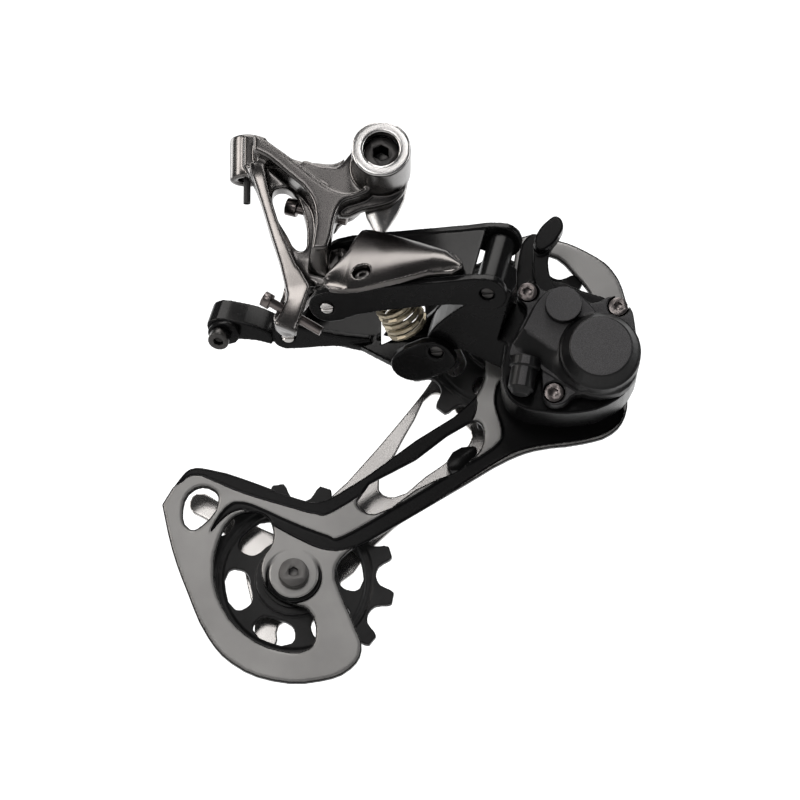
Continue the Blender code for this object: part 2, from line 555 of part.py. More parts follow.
def outer_plate():
    plate = plate_y("cage_outer_plate", [
        [(-62.6, -98.2, 1), (-57.6, -90.2), (-54.6, -87.3), (-49.4, -87.4), (-35.0, -91.9),
         (-24.2, -96.1), (-18.0, -97.2), (-11.9, -94.5), (10.0, -78.7), (25.7, -67.2), (29.6, -60.0),
         (28.6, -47.0), (31.0, -38.0), (37.0, -33.4), (38.6, -24.0), (41.0, -16.8), (51.3, -17.9),
         (60.0, -21.6), (67.0, -27.0), (70.8, -36.0), (71.9, -47.0), (71.0, -64.0), (70.2, -71.6),
         (66.4, -76.8), (58.0, -79.8), (44.0, -81.9), (36.4, -84.8), (24.2, -92.1), (-4.0, -109.2),
         (-9.6, -112.4), (-12.9, -118.0), (-11.4, -124.2), (-7.2, -134.5), (-5.4, -141.0),
         (-8.4, -146.4), (-16.8, -150.0), (-30.6, -150.0), (-42.4, -144.8), (-49.0, -137.4),
         (-55.2, -123.7), (-59.6, -111.4)],
        [(-38.5, -100.5), (-42.6, -102.4), (-46.2, -109.2), (-47.5, -118.5), (-44.8, -128.6),
         (-38.0, -136.8), (-28.6, -141.2), (-20.6, -140.8), (-18.5, -137.1), (-20.9, -129.2),
         (-24.7, -127.8), (-30.4, -124.9), (-34.0, -119.6), (-33.6, -113.8), (-31.0, -109.4),
         (-31.2, -104.2), (-33.0, -101.4)],
        [(-53.0, -93.4), (-47.8, -94.0), (-46.5, -96.8), (-51.4, -104.6), (-54.4, -105.6),
         (-56.5, -99.6)],
        [(-6.8, -97.0), (10.0, -84.6), (24.0, -74.4), (27.6, -73.3), (29.5, -77.0), (27.1, -83.6),
         (10.0, -93.6), (-1.2, -100.8), (-5.0, -100.2)],
        [(45.0, -27.4), (44.8, -23.2), (48.2, -22.4), (55.0, -27.4), (60.2, -38.0), (54.0, -39.6),
         (49.0, -31.0)]],
        PLATE_OUT, PLATE)
    cut(plate, y_rod("outer_tension_hole", TENSION, (4, 9), 2.6, None, True),
        y_rod("outer_guide_hole", GUIDE, (4, 9), 2.6, None, True),
        y_rod("outer_axle_hole", CAGE_AXIS, (4, 9), 3.5, None, True))


def inner_plate():
    plate = plate_y("cage_inner_plate", [
        [(-24.8, -106.0), (-14.0, -111.2), (-11.6, -119.0), (-15.6, -127.6), (-24.8, -129.4),
         (-29.2, -131.0), (-30.2, -137.4), (-34.6, -138.4), (-36.2, -128.6), (-38.4, -119.0),
         (-41.2, -108.4), (-50.0, -99.6), (-55.2, -95.8), (-53.2, -91.6), (-46.4, -94.4),
         (-34.6, -102.0)]], PLATE_IN, BRIGHT)
    arm = plate_y("inner_arm_plate", [
        [(-24.8, -106.2), (-9.9, -88.2), (3.4, -72.3), (16.7, -53.9), (21.6, -43.0), (27.6, -34.4),
         (36.0, -32.0), (44.4, -35.6), (48.8, -44.6), (47.0, -54.6), (41.0, -64.0), (36.4, -74.0),
         (32.0, -82.6), (26.6, -86.4), (14.3, -93.6), (-1.8, -107.1),
         (-12.0, -118.4), (-20.0, -118.4)],
        [(14.4, -61.6), (17.4, -61.6), (22.6, -68.6), (26.2, -74.6), (20.6, -80.6), (12.6, -86.6),
         (4.0, -92.6), (-0.6, -90.6), (4.0, -80.0), (9.6, -69.4)]], PLATE_IN, None, True)
    add(plate, arm)
    cut(plate, y_rod("inner_tension_hole", TENSION, (15, 20), 2.6, None, True),
        y_rod("inner_guide_hole", GUIDE, (15, 20), 2.6, None, True))


def cage_hardware():
    axle = y_rod("cage_axle", CAGE_AXIS, (-18.4, 8.6), 3.2, STEEL)
    add(axle, y_rod("axle_flange", CAGE_AXIS, (7.9, 9.2), 4.6, None, True))
    plate_y("cage_bridge", [
        [(18.9, -84.4), (20.2, -87.4), (26.6, -83.6), (27.6, -81.0), (26.2, -79.9)]],
        (7.9, 16.3), BLACK)
    for name, centre in (("tension", TENSION), ("guide", GUIDE)):
        bolt = y_rod(name + "_pulley_bolt", centre, (5.0, 18.0), 2.2, STEEL)
        add(bolt, rod(name + "_bolt_head", (centre.x, 2.9, centre.z), (centre.x, 5.3, centre.z),
                      4.1, None, True, 24, 4.4))
        cut(bolt, y_rod(name + "_bolt_socket", centre, (1, 4.7), 1.6, None, True, 6))


def tooth_outline(centre, phase):
    """Round root gaps between blunt teeth, all round a chain pulley."""
    points = []
    step = 2 * math.pi / TEETH
    flank = ((0.38, ROOT_R + 0.3), (0.27, ROOT_R + 1.1), (0.205, ROOT_R + 2.8),
             (0.175, TIP_R - 1.2), (0.12, TIP_R))
    shape = ((-0.50, ROOT_R), *((-part, radius) for part, radius in flank), *reversed(flank))
    for tooth in range(TEETH):
        for part, radius in shape:
            angle = phase + (tooth + part) * step
            points.append((centre.x + radius * math.cos(angle), centre.z + radius * math.sin(angle), 1))
    return points


def pulley(name, centre, first_tip, first_window, spokes=6):
    """A toothed pulley with rounded windows, its bushing and its two side caps."""
    phase = math.atan2(first_tip[1] - centre.z, first_tip[0] - centre.x)
    windows = []
    for i in range(spokes):
        middle = math.radians(first_window + 360 * i / spokes)
        half = ((12.6, 0.0), (13.4, 0.30), (16.0, 0.37), (18.8, 0.32), (19.7, 0.0))
        ring = [(r, middle + a) for r, a in half] + [(r, middle - a) for r, a in half[-2:0:-1]]
        windows.append([(centre.x + r * math.cos(a), centre.z + r * math.sin(a)) for r, a in ring])
    wheel = plate_y(name + "_pulley", [tooth_outline(centre, phase)] + windows,
                    (centre.y - 1.2, centre.y + 1.2), NYLON, False, 2)
    add(wheel, y_rod(name + "_hub", centre, (centre.y - 2.8, centre.y + 2.8), 11.0, None, True, 24))
    cut(wheel, y_rod(name + "_bore", centre, (0, 24), 4.3, None, True))
    y_ring(name + "_bushing", centre, (centre.y - 3.8, centre.y + 3.8), 2.5, 3.95, BRIGHT)
    for side, span in (("outer", (centre.y - 3.7, centre.y - 3.1)),
                       ("inner", (centre.y + 3.1, centre.y + 3.7))):
        y_ring(name + "_cap_" + side, centre, span, 4.3, 9.0, BLACK, 24)


# ---------------------------------------------------------------- joints

def hang(body, point, direction, pieces):
    """Parent a moving body's pieces to an empty on its joint, with z along the joint's axis."""
    pivot = bpy.data.objects.new(body + "_pivot", None)
    PARTS.objects.link(pivot)
    pivot.empty_display_size = 10 * MM
    pivot.matrix_world = scaled(along(point, direction))
    bpy.context.view_layer.update()
    for piece in pieces:
        child = bpy.data.objects[piece]
        child.parent = pivot
        child.matrix_parent_inverse = pivot.matrix_world.inverted()


def hang_bodies():
    along_y = Vector((0, 1, 0))
    hang("bracket", (0, 0, 0), along_y, (
        "bracket", "b_tension_screw", "foot_limit_screw", "cable_ferrule", "cable_liner",
        "link_pin_a", "pin_clip_a", "link_pin_c", "pin_clip_c"))
    hang("outer_link", pin_point("A", 14), PIN_DIR, (
        "outer_link", "outer_link_cover", "link_limit_screw", "return_spring"))
    hang("inner_link", pin_point("C", 24), PIN_DIR, (
        "inner_link", "cable_clamp_plate", "cable_clamp_bolt"))
    hang("knuckle", pin_point("B", 14), PIN_DIR, (
        "knuckle_body", "clutch_cover", "cover_screw_top", "cover_screw_front", "cover_screw_low",
        "clutch_cap", "roller_clutch", "friction_band", "adjuster_plug", "cage_stop_pin",
        "cage_spring", "link_pin_b", "pin_clip_b", "link_pin_d", "pin_clip_d"))
    hang("clutch_switch", LEVER_AXIS, along_y, ("clutch_lever", "clutch_cam"))
    hang("cage", CAGE_AXIS, -along_y, (
        "cage_outer_plate", "cage_inner_plate", "cage_axle", "cage_bridge", "tension_pulley_bolt",
        "guide_pulley_bolt", "tension_bushing", "guide_bushing"))
    for wheel, centre in (("guide", GUIDE), ("tension", TENSION)):
        hang(wheel + "_wheel", centre, along_y, (
            wheel + "_pulley", wheel + "_cap_outer", wheel + "_cap_inner"))


def build():
    axle_mount()
    bracket()
    bracket_fittings()
    outer_link()
    link_cover()
    inner_link()
    cable_clamp()
    return_spring()
    knuckle()
    link_pin("B", 1.5, 28.2)
    link_pin("D", 1.5, 19.0)
    clutch_cover()
    clutch_parts()
    outer_plate()
    inner_plate()
    cage_hardware()
    pulley("tension", TENSION, (2.8, -110.7), 10)
    pulley("guide", GUIDE, (17.2, -68.0), 22)
    hang_bodies()


build()
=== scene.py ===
"""Looks of the rear derailleur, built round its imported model. Lengths in the code are metres."""
import json
import math

import bmesh
import bpy
from mathutils import Matrix, Vector
from mathutils.kdtree import KDTree

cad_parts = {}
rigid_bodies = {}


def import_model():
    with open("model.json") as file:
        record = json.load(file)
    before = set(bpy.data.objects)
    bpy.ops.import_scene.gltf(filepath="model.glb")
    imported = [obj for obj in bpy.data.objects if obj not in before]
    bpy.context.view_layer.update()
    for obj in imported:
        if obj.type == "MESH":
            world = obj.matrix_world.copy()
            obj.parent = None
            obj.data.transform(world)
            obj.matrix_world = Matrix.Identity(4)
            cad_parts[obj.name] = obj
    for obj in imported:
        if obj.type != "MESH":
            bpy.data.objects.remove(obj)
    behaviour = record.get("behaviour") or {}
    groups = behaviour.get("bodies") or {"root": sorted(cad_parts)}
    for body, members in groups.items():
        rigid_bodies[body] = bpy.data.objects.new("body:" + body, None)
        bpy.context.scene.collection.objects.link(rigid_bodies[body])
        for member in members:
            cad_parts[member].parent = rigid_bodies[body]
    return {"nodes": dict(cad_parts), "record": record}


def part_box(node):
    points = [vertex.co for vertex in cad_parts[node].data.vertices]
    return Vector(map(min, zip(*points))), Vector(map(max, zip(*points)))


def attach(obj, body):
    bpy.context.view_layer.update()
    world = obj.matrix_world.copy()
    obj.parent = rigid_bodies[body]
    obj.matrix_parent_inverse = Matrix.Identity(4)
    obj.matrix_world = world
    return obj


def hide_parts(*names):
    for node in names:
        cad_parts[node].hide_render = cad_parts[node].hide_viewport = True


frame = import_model()
NODES = frame["nodes"]
BODY_OF = {node: body for body, nodes in frame["record"]["behaviour"]["bodies"].items()
           for node in nodes}
SLOT_OF = {part["node"]: part["material_slot"] for part in frame["record"]["subparts"]}
MM = 0.001


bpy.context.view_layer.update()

# ---------------------------------------------------------------- camera, light and backdrop

CAMERA_RISE = math.radians(-18)      # the camera looks up from a little below
LOOK_AT = Vector((0.0054, -0.005, -0.0703))
DISTANCE = 1.3
LENS, SENSOR = 205, 36               # both in millimetres
WARM = (1.0, 0.98, 0.97)


def make_camera():
    way = Vector((0, math.cos(CAMERA_RISE), -math.sin(CAMERA_RISE)))
    data = bpy.data.cameras.new("camera")
    data.lens = LENS
    data.sensor_width = SENSOR
    data.clip_start = 0.01
    camera = bpy.data.objects.new("camera", data)
    camera.location = LOOK_AT - way * DISTANCE
    camera.rotation_euler = way.to_track_quat("-Z", "Y").to_euler()
    bpy.context.scene.collection.objects.link(camera)
    bpy.context.scene.camera = camera


def area_light(name, place, size, power, tint=(1, 1, 1)):
    data = bpy.data.lights.new(name, "AREA")
    data.shape = "RECTANGLE"
    data.size, data.size_y = size
    data.energy = power
    data.color = tint
    lamp = bpy.data.objects.new(name, data)
    lamp.location = place
    lamp.rotation_euler = (LOOK_AT - Vector(place)).to_track_quat("-Z", "Y").to_euler()
    bpy.context.scene.collection.objects.link(lamp)


def plane(name, centre, size, turn, look):
    work = bmesh.new()
    bmesh.ops.create_grid(work, x_segments=1, y_segments=1, size=0.5)
    bmesh.ops.transform(work, matrix=Matrix.Diagonal((size[0], size[1], 1, 1)), verts=work.verts)
    mesh = bpy.data.meshes.new(name)
    work.to_mesh(mesh)
    work.free()
    made = bpy.data.objects.new(name, mesh)
    made.matrix_world = Matrix.Translation(centre) @ turn
    mesh.materials.append(look)
    bpy.context.scene.collection.objects.link(made)


def studio():
    """A white backdrop, a pale floor far below, and large soft lights in a dim room."""
    paper = bpy.data.materials.new("studio_paper")
    paper.use_nodes = True
    nodes, links = paper.node_tree.nodes, paper.node_tree.links
    glow = nodes.new("ShaderNodeEmission")
    glow.inputs["Color"].default_value = (1, 1, 1, 1)
    glow.inputs["Strength"].default_value = 1.3
    links.new(glow.outputs[0], nodes["Material Output"].inputs["Surface"])
    plane("backdrop", (0, 1.9, 0.1), (6.0, 6.0), Matrix.Rotation(math.radians(90), 4, "X"), paper)
    floor = bpy.data.materials.new("studio_floor")
    floor.use_nodes = True
    floor.node_tree.nodes["Principled BSDF"].inputs["Base Color"].default_value = (0.8, 0.8, 0.8, 1)
    plane("floor", (0, 0, -0.62), (6, 6), Matrix.Identity(4), floor)
    world = bpy.data.worlds.new("room")
    bpy.context.scene.world = world
    world.use_nodes = True
    world.node_tree.nodes["Background"].inputs["Color"].default_value = (0.9, 0.93, 1.0, 1)
    world.node_tree.nodes["Background"].inputs["Strength"].default_value = 0.05
    bpy.context.scene.view_settings.view_transform = "Standard"
    area_light("key_left", (-0.75, -0.40, 0.18), (0.25, 0.75), 3.9, (1.0, 0.96, 0.93))
    area_light("top", (0.0, -0.15, 0.80), (0.8, 0.30), 3.6, (1, 0.98, 0.96))
    area_light("right", (0.75, -0.25, 0.15), (0.20, 0.6), 2.0)
    area_light("front", (-0.20, -1.0, 0.12), (0.32, 0.24), 0.95, WARM)
    area_light("front_high", (0.10, -1.0, 0.43), (0.18, 0.13), 0.5, WARM)
    area_light("high", (0.05, -0.75, 0.85), (0.3, 0.3), 1.6, WARM)
    area_light("low_front", (-0.35, -0.80, -0.75), (0.5, 0.14), 0.25)
    area_light("back_left", (-0.7, 0.4, 0.1), (0.3, 0.8), 3.0)


# ---------------------------------------------------------------- materials

RELIEF_DEPTH = 0.1 * MM
# Near black: the real black of the cage plate's bands and edges, and painted shade on the speckled
# cover's sides and at the bottom of the cage plate's bolt groove
BLACK_FINISH_AND_SHADE = (0.004, 0.004, 0.0043)
# Between these two normals the speckled cover's painted side shade fades in
FACE_NORMAL, SIDE_NORMAL = -0.985, -0.94    # y of a normal that still faces -y, and of a side's
PLATE_FACE, BAND_DEPTH = 5.6 * MM, 0.6 * MM


def new_material(name):
    """A new material with its nodes, links, shader and object coordinates."""
    made = bpy.data.materials.new(name)
    made.use_nodes = True
    nodes, links = made.node_tree.nodes, made.node_tree.links
    coords = nodes.new("ShaderNodeTexCoord")
    return made, nodes, links, nodes["Principled BSDF"], coords.outputs["Object"]


def noise(nodes, links, coords, scale, detail, stretch=(1, 1, 1)):
    mapping = nodes.new("ShaderNodeMapping")
    mapping.inputs["Scale"].default_value = stretch
    links.new(coords, mapping.inputs["Vector"])
    texture = nodes.new("ShaderNodeTexNoise")
    texture.inputs["Scale"].default_value = scale
    texture.inputs["Detail"].default_value = detail
    links.new(mapping.outputs["Vector"], texture.inputs["Vector"])
    return texture.outputs["Fac"]


def ramp(nodes, links, factor, low, high, start=0.3, end=0.7):
    made = nodes.new("ShaderNodeValToRGB")
    made.color_ramp.elements[0].position = start
    made.color_ramp.elements[1].position = end
    made.color_ramp.elements[0].color = (*low, 1)
    made.color_ramp.elements[1].color = (*high, 1)
    links.new(factor, made.inputs["Fac"])
    return made.outputs["Color"]


def spread(nodes, links, factor, low, high):
    """Turn a factor from 0 to 1 into a number from low to high."""
    made = nodes.new("ShaderNodeMapRange")
    made.inputs["To Min"].default_value = low
    made.inputs["To Max"].default_value = high
    links.new(factor, made.inputs["Value"])
    return made.outputs["Result"]


def mask(nodes, links, along_y, start, end):
    """0 where the y of a place or normal is at start, and 1 where it is at end or past it."""
    apart = nodes.new("ShaderNodeSeparateXYZ")
    links.new(along_y, apart.inputs[0])
    made = nodes.new("ShaderNodeMapRange")
    made.inputs["From Min"].default_value = start
    made.inputs["From Max"].default_value = end
    links.new(apart.outputs["Y"], made.inputs["Value"])
    return made.outputs["Result"]


def blend_colour(nodes, links, shader, factor, first, second):
    """Base colour that goes from a node's output, first, to one plain colour, second."""
    mix = nodes.new("ShaderNodeMix")
    mix.data_type = "RGBA"
    links.new(factor, mix.inputs["Factor"])
    links.new(first, mix.inputs["A"])
    mix.inputs["B"].default_value = (*second, 1)
    links.new(mix.outputs["Result"], shader.inputs["Base Color"])


def bump(nodes, links, shader, height, strength):
    made = nodes.new("ShaderNodeBump")
    made.inputs["Strength"].default_value = strength
    made.inputs["Distance"].default_value = RELIEF_DEPTH
    links.new(height, made.inputs["Height"])
    links.new(made.outputs["Normal"], shader.inputs["Normal"])


def metal(name, dark, light, rough, relief=0.05, fine=2600.0, grain=(1, 1, 1)):
    """Polished or brushed metal: a slow change of tint and gloss, and a fine grain in height."""
    made, nodes, links, shader, coords = new_material(name)
    shader.inputs["Metallic"].default_value = 1.0
    slow = noise(nodes, links, coords, 90.0, 2.0)
    links.new(ramp(nodes, links, slow, dark, light), shader.inputs["Base Color"])
    links.new(spread(nodes, links, slow, rough * 0.94, rough * 1.06), shader.inputs["Roughness"])
    bump(nodes, links, shader, noise(nodes, links, coords, fine, 2.0, grain), relief)
    return made


def machined_end(made, face_y, light):
    """Turn the end that faces -y, at the depth face_y in metres, into a bright turned face."""
    nodes, links = made.node_tree.nodes, made.node_tree.links
    shader = nodes["Principled BSDF"]
    at_end = mask(nodes, links, nodes["Texture Coordinate"].outputs["Object"],
                  face_y + 0.5 * MM, face_y + 0.2 * MM)
    blend_colour(nodes, links, shader, at_end, shader.inputs["Base Color"].links[0].from_socket, light)
    return made


def paint(name, dark, light, rough, relief, fine, shine):
    """Painted, anodised or moulded black with a slightly uneven gloss."""
    made, nodes, links, shader, coords = new_material(name)
    shader.inputs["Specular IOR Level"].default_value = shine
    slow = noise(nodes, links, coords, 120.0, 3.0)
    links.new(ramp(nodes, links, slow, dark, light), shader.inputs["Base Color"])
    grit = noise(nodes, links, coords, fine, 4.0)
    links.new(spread(nodes, links, grit, rough * 0.8, rough * 1.25), shader.inputs["Roughness"])
    bump(nodes, links, shader, grit, relief)
    return made


def speckled(name):
    """Moulded cover: light flecked faces with a granular surface, and smoother sides painted near
    black, which is painted shade as well as their glossier finish.
    """
    made, nodes, links, shader, coords = new_material(name)
    normal = nodes["Texture Coordinate"].outputs["Normal"]
    # Faces turned away from -y are painted near black: painted shade on the cover's sides
    side = mask(nodes, links, normal, FACE_NORMAL, SIDE_NORMAL)
    fleck = ramp(nodes, links, noise(nodes, links, coords, 4200.0, 2.0),
                 (0.054, 0.053, 0.055), (0.100, 0.098, 0.101), 0.40, 0.70)
    blend_colour(nodes, links, shader, side, fleck, BLACK_FINISH_AND_SHADE)
    links.new(spread(nodes, links, side, 0.56, 0.40), shader.inputs["Roughness"])
    shader.inputs["Specular IOR Level"].default_value = 0.3
    bump(nodes, links, shader, noise(nodes, links, coords, 2800.0, 3.0), 0.22)
    return made


def plate_finish(name):
    """Satin grey where the outer face is flat, and glossy black in its bands and on its edges."""
    made, nodes, links, shader, coords = new_material(name)
    # The depth mask also paints the deep lower side of the tilted bolt groove black, as painted shade
    deep = mask(nodes, links, coords, PLATE_FACE + BAND_DEPTH * 0.15, PLATE_FACE + BAND_DEPTH * 0.5)
    grey = ramp(nodes, links, noise(nodes, links, coords, 60.0, 3.0),
                (0.29, 0.286, 0.28), (0.37, 0.365, 0.357))
    blend_colour(nodes, links, shader, deep, grey, BLACK_FINISH_AND_SHADE)
    links.new(spread(nodes, links, deep, 0.42, 0.24), shader.inputs["Roughness"])
    links.new(spread(nodes, links, deep, 0.8, 0.0), shader.inputs["Metallic"])
    shader.inputs["Specular IOR Level"].default_value = 0.14
    bump(nodes, links, shader, noise(nodes, links, coords, 2200.0, 4.0), 0.08)
    return made


FINISHES = {
    "polished_dark": metal("dark_titanium", (0.120, 0.113, 0.110), (0.15, 0.142, 0.137), 0.22,
                           0.008, 2400.0),
    "black_paint": paint("black_anodised", (0.003, 0.003, 0.0032), (0.006, 0.006, 0.0063), 0.24,
                         0.03, 1500.0, 0.13),
    "matte_black": speckled("speckled_cover"),
    "grey_plate": plate_finish("cage_plate_finish"),
    "bright_steel": metal("bright_steel", (0.50, 0.485, 0.47), (0.62, 0.605, 0.59), 0.27,
                          0.01, 1500.0, (1, 1, 0.1)),
    "pulley_nylon": paint("pulley_nylon", (0.010, 0.010, 0.0103), (0.020, 0.020, 0.0205), 0.42,
                          0.12, 2400.0, 0.3),
    "spring_steel": metal("bronze_spring", (0.36, 0.31, 0.22), (0.52, 0.46, 0.34), 0.24),
    "screw_steel": metal("stainless_screw", (0.17, 0.15, 0.146), (0.24, 0.217, 0.21), 0.28),
}
DARK_BOLT = metal("black_bolt", (0.055, 0.053, 0.052), (0.085, 0.082, 0.08), 0.34)
GREY_BOLT = metal("grey_bolt", (0.12, 0.117, 0.113), (0.17, 0.166, 0.162), 0.40)
BRACKET_LOOK = machined_end(
    metal("forged_bracket", (0.135, 0.129, 0.126), (0.165, 0.158, 0.153), 0.25, 0.008, 2400.0),
    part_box("bracket")[0][1], (0.62, 0.61, 0.60))


# ---------------------------------------------------------------- shape helpers

WELD = 0.002                         # points closer than this, in mm, are one point
WORKSHOP = bpy.data.collections.new("workshop")
bpy.context.scene.collection.children.link(WORKSHOP)


def tool_from(work, name):
    """A cutter made from a finished bmesh, kept out of the object's own collection."""
    bmesh.ops.recalc_face_normals(work, faces=work.faces)
    mesh = bpy.data.meshes.new(name)
    work.to_mesh(mesh)
    work.free()
    made = bpy.data.objects.new(name, mesh)
    WORKSHOP.objects.link(made)
    return made


def apply_modifiers(obj):
    bpy.context.view_layer.update()
    graph = bpy.context.evaluated_depsgraph_get()
    mesh = bpy.data.meshes.new_from_object(obj.evaluated_get(graph))
    old = obj.data
    obj.modifiers.clear()
    obj.data = mesh
    bpy.data.meshes.remove(old)


def soften(obj, rounds):
    """Add a smoothing modifier of so many rounds."""
    step = obj.modifiers.new("soften", "SMOOTH")
    step.factor = 0.5
    step.iterations = rounds


def copy_of(node):
    """A welded copy of a CAD node, for a piece that stands for it."""
    source = NODES[node]
    mesh = source.data.copy()
    mesh.transform(source.matrix_world)
    work = bmesh.new()
    work.from_mesh(mesh)
    bmesh.ops.remove_doubles(work, verts=work.verts, dist=WELD * MM)
    work.to_mesh(mesh)
    work.free()
    made = bpy.data.objects.new(node + "_skin", mesh)
    bpy.context.scene.collection.objects.link(made)
    return made


def present(obj, node, look):
    """Finish a piece that stands for a CAD node."""
    slot = SLOT_OF[node]
    obj.data.materials.clear()
    obj.data.materials.append(look or FINISHES[slot])
    obj.data.shade_smooth()
    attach(obj, BODY_OF[node])
    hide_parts(node)
    return obj


def forged(node, voxel, rounds, keep=0.5, cuts=(), look=None):
    """A CAD node remade as one soft-edged surface, as casting or pressing leaves it."""
    made = copy_of(node)
    for tool in cuts:
        step = made.modifiers.new(tool.name, "BOOLEAN")
        step.operation = "DIFFERENCE"
        step.object = tool
    remesh = made.modifiers.new("surface", "REMESH")
    remesh.mode = "VOXEL"
    remesh.voxel_size = voxel * MM
    soften(made, rounds)
    lighten = made.modifiers.new("lighten", "DECIMATE")
    lighten.ratio = keep
    apply_modifiers(made)
    for tool in cuts:
        bpy.data.objects.remove(tool, do_unlink=True)
    return present(made, node, look)


def bevelled(node, width, look=None):
    """A CAD node with its flat faces joined and its edges rounded."""
    made = copy_of(node)
    work = bmesh.new()
    work.from_mesh(made.data)
    bmesh.ops.dissolve_limit(work, angle_limit=math.radians(1.5), verts=work.verts, edges=work.edges)
    work.to_mesh(made.data)
    work.free()
    edge = made.modifiers.new("edges", "BEVEL")
    edge.width = width * MM
    edge.segments = 2
    edge.limit_method = "ANGLE"
    edge.angle_limit = math.radians(50)
    apply_modifiers(made)
    present(made, node, look)
    made.data.set_sharp_from_angle(angle=math.radians(40))


# ---------------------------------------------------------------- pieces

def smooth_loop(outline, steps=4):
    """A closed curve through every point of the outline, with so many steps between two of them."""
    count = len(outline)
    points = []
    for k in range(count):
        a, b, c, d = (Vector(outline[(k + shift) % count]) for shift in (-1, 0, 1, 2))
        for step in range(steps):
            t = step / steps
            points.append(0.5 * (2 * b + (c - a) * t + (2 * a - 5 * b + 4 * c - d) * t * t
                                 + (3 * b - a - 3 * c + d) * t ** 3))
    return points


def sunk(name, outline, y_low, y_high):
    """A prism cutter with a smooth outline of (x, z) points in mm, between two depths in y."""
    points = smooth_loop(outline)
    work = bmesh.new()
    rings = [[work.verts.new((p.x * MM, y * MM, p.y * MM)) for p in points] for y in (y_low, y_high)]
    total = len(points)
    work.faces.new(rings[0])
    work.faces.new(list(reversed(rings[1])))
    for k in range(total):
        after = (k + 1) % total
        work.faces.new((rings[0][k], rings[1][k], rings[1][after], rings[0][after]))
    return tool_from(work, name)


def ring_tool(name, centre, radius, half_width, tilt=0.0):
    """A round groove cutter about an axis along y; a tilt sinks one side of it deeper."""
    work = bmesh.new()
    around, across = 48, 10
    along_y = Vector((0, 1, 0))
    loops = []
    for i in range(around):
        a = 2 * math.pi * i / around
        out = Vector((math.cos(a), 0, math.sin(a)))
        middle = Vector(centre) + out * radius - along_y * math.sin(a) * tilt
        loop = []
        for j in range(across):
            b = 2 * math.pi * j / across
            around_tube = math.cos(b) * out + math.sin(b) * along_y
            loop.append(work.verts.new((middle + half_width * around_tube) * MM))
        loops.append(loop)
    for i in range(around):
        here, after = loops[i], loops[(i + 1) % around]
        for j in range(across):
            work.faces.new((here[j], here[(j + 1) % across], after[(j + 1) % across], after[j]))
    return tool_from(work, name)


def coined_edge(plate, face, width, depth):
    """Press the rim of a plate's outer face back, round its outline and its windows."""
    below_bands = face + 1.1
    walls = {(round(v.co.x, 4), 0, round(v.co.z, 4)) for v in plate.data.vertices
             if abs(v.normal.y) < 0.5 and v.co.y / MM > below_bands}
    tree = KDTree(len(walls))
    for number, spot in enumerate(sorted(walls)):
        tree.insert(spot, number)
    tree.balance()
    front = [v for v in plate.data.vertices if v.co.y / MM < face + 0.5 and v.normal.y < -0.5]
    for vertex in front:
        gap = tree.find((vertex.co.x, 0, vertex.co.z))[2] / MM
        vertex.co.y += depth * max(0.0, 1 - gap / width) * MM


def cage_plates():
    """The two plates and the bridge; two black bands and a ring are sunk in the outer plate."""
    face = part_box("cage_outer_plate")[0][1] / MM
    bands = (
        ("band_top", [(-60.5, -92.5), (-57.7, -92.0), (-55.0, -90.0), (-52.0, -89.7),
                      (-48.6, -91.0), (-39.1, -95.1), (-24.5, -99.6), (-19.0, -101.0),
                      (-13.5, -100.4), (6.9, -86.6), (17.0, -79.8), (26.0, -73.4), (27.6, -66.0),
                      (24.0, -62.0), (10.0, -75.0), (-11.9, -91.0), (-18.0, -93.8), (-24.0, -92.6),
                      (-35.0, -88.4), (-49.4, -83.9), (-57.0, -84.0)]),
        ("band_low", [(-49.3, -107.4), (-46.5, -101.6), (-43.2, -97.9), (-40.0, -97.3),
                      (-35.4, -98.6), (-25.4, -103.3), (-15.4, -107.2), (-10.8, -107.4),
                      (6.9, -96.9), (20.0, -88.6), (32.0, -81.0), (34.6, -76.0), (32.6, -67.0),
                      (36.0, -60.0), (52.0, -66.0), (62.0, -70.5), (68.4, -67.0), (69.6, -71.5),
                      (65.8, -76.0), (58.0, -78.9), (44.0, -81.0), (36.0, -83.9), (24.0, -91.6),
                      (6.9, -103.2), (-3.1, -108.9), (-9.9, -111.6), (-14.5, -111.9),
                      (-19.9, -110.4), (-30.0, -105.0), (-34.0, -101.9), (-38.6, -100.0),
                      (-42.0, -100.4), (-45.6, -103.0)]),
    )
    tools = [sunk(name, outline, face - 1.0, face + 0.7) for name, outline in bands]
    # The tilt sinks the groove's lower side past the black band depth, so only its bottom is painted
    # black: a painted shade crescent under the raised ring round the bolt
    tools.append(ring_tool("bolt_groove_shade_crescent", (-24.8, face - 0.35, -119.2), 7.5, 0.85, 0.45))
    plate = forged("cage_outer_plate", 0.28, 4, 0.6, cuts=tools)
    coined_edge(plate, face, 0.8, 0.4)
    forged("cage_inner_plate", 0.26, 4)
    bevelled("cage_bridge", 0.4)


def height_at(route, x):
    """The second number of a route of (x, value) points, at x."""
    for (x0, y0), (x1, y1) in zip(route, route[1:]):
        if x <= x1:
            return y0 + (y1 - y0) * max(0.0, (x - x0)) / (x1 - x0)
    return route[-1][1]


def share(value, length=1.0):
    """The value as a part of the length, kept between 0 and 1."""
    return min(1.0, max(0.0, value / length))


# The link cover lies along the outer link: from pivot A, x runs along the link and y along its pins.
PIVOT_A = Vector((-15.7, -14.0, -46.2))
PIN_DIR = Vector((0.197, 0.496, 0.846)).normalized()
A_TO_B = Vector((45.4, -15.5, -1.5))
LINK_DIR = (A_TO_B - A_TO_B.dot(PIN_DIR) * PIN_DIR).normalized()
OUTWARD = -PIN_DIR.cross(LINK_DIR)
COVER_FACE = 7.6                     # height of the cover's face over the link's plane
COVER_TIP = 41.6                     # length from pivot A to the cover's tip
COVER_LOW = ((1.0, 2.2), (8.7, -1.0), (17.6, 0.2), (32.0, 3.3), (COVER_TIP, 4.6))
COVER_HIGH = ((1.0, 2.4), (7.4, 26.0), (14.0, 24.2), (27.0, 17.8), (36.0, 12.9), (COVER_TIP, 6.0))
CROWN = 2.1


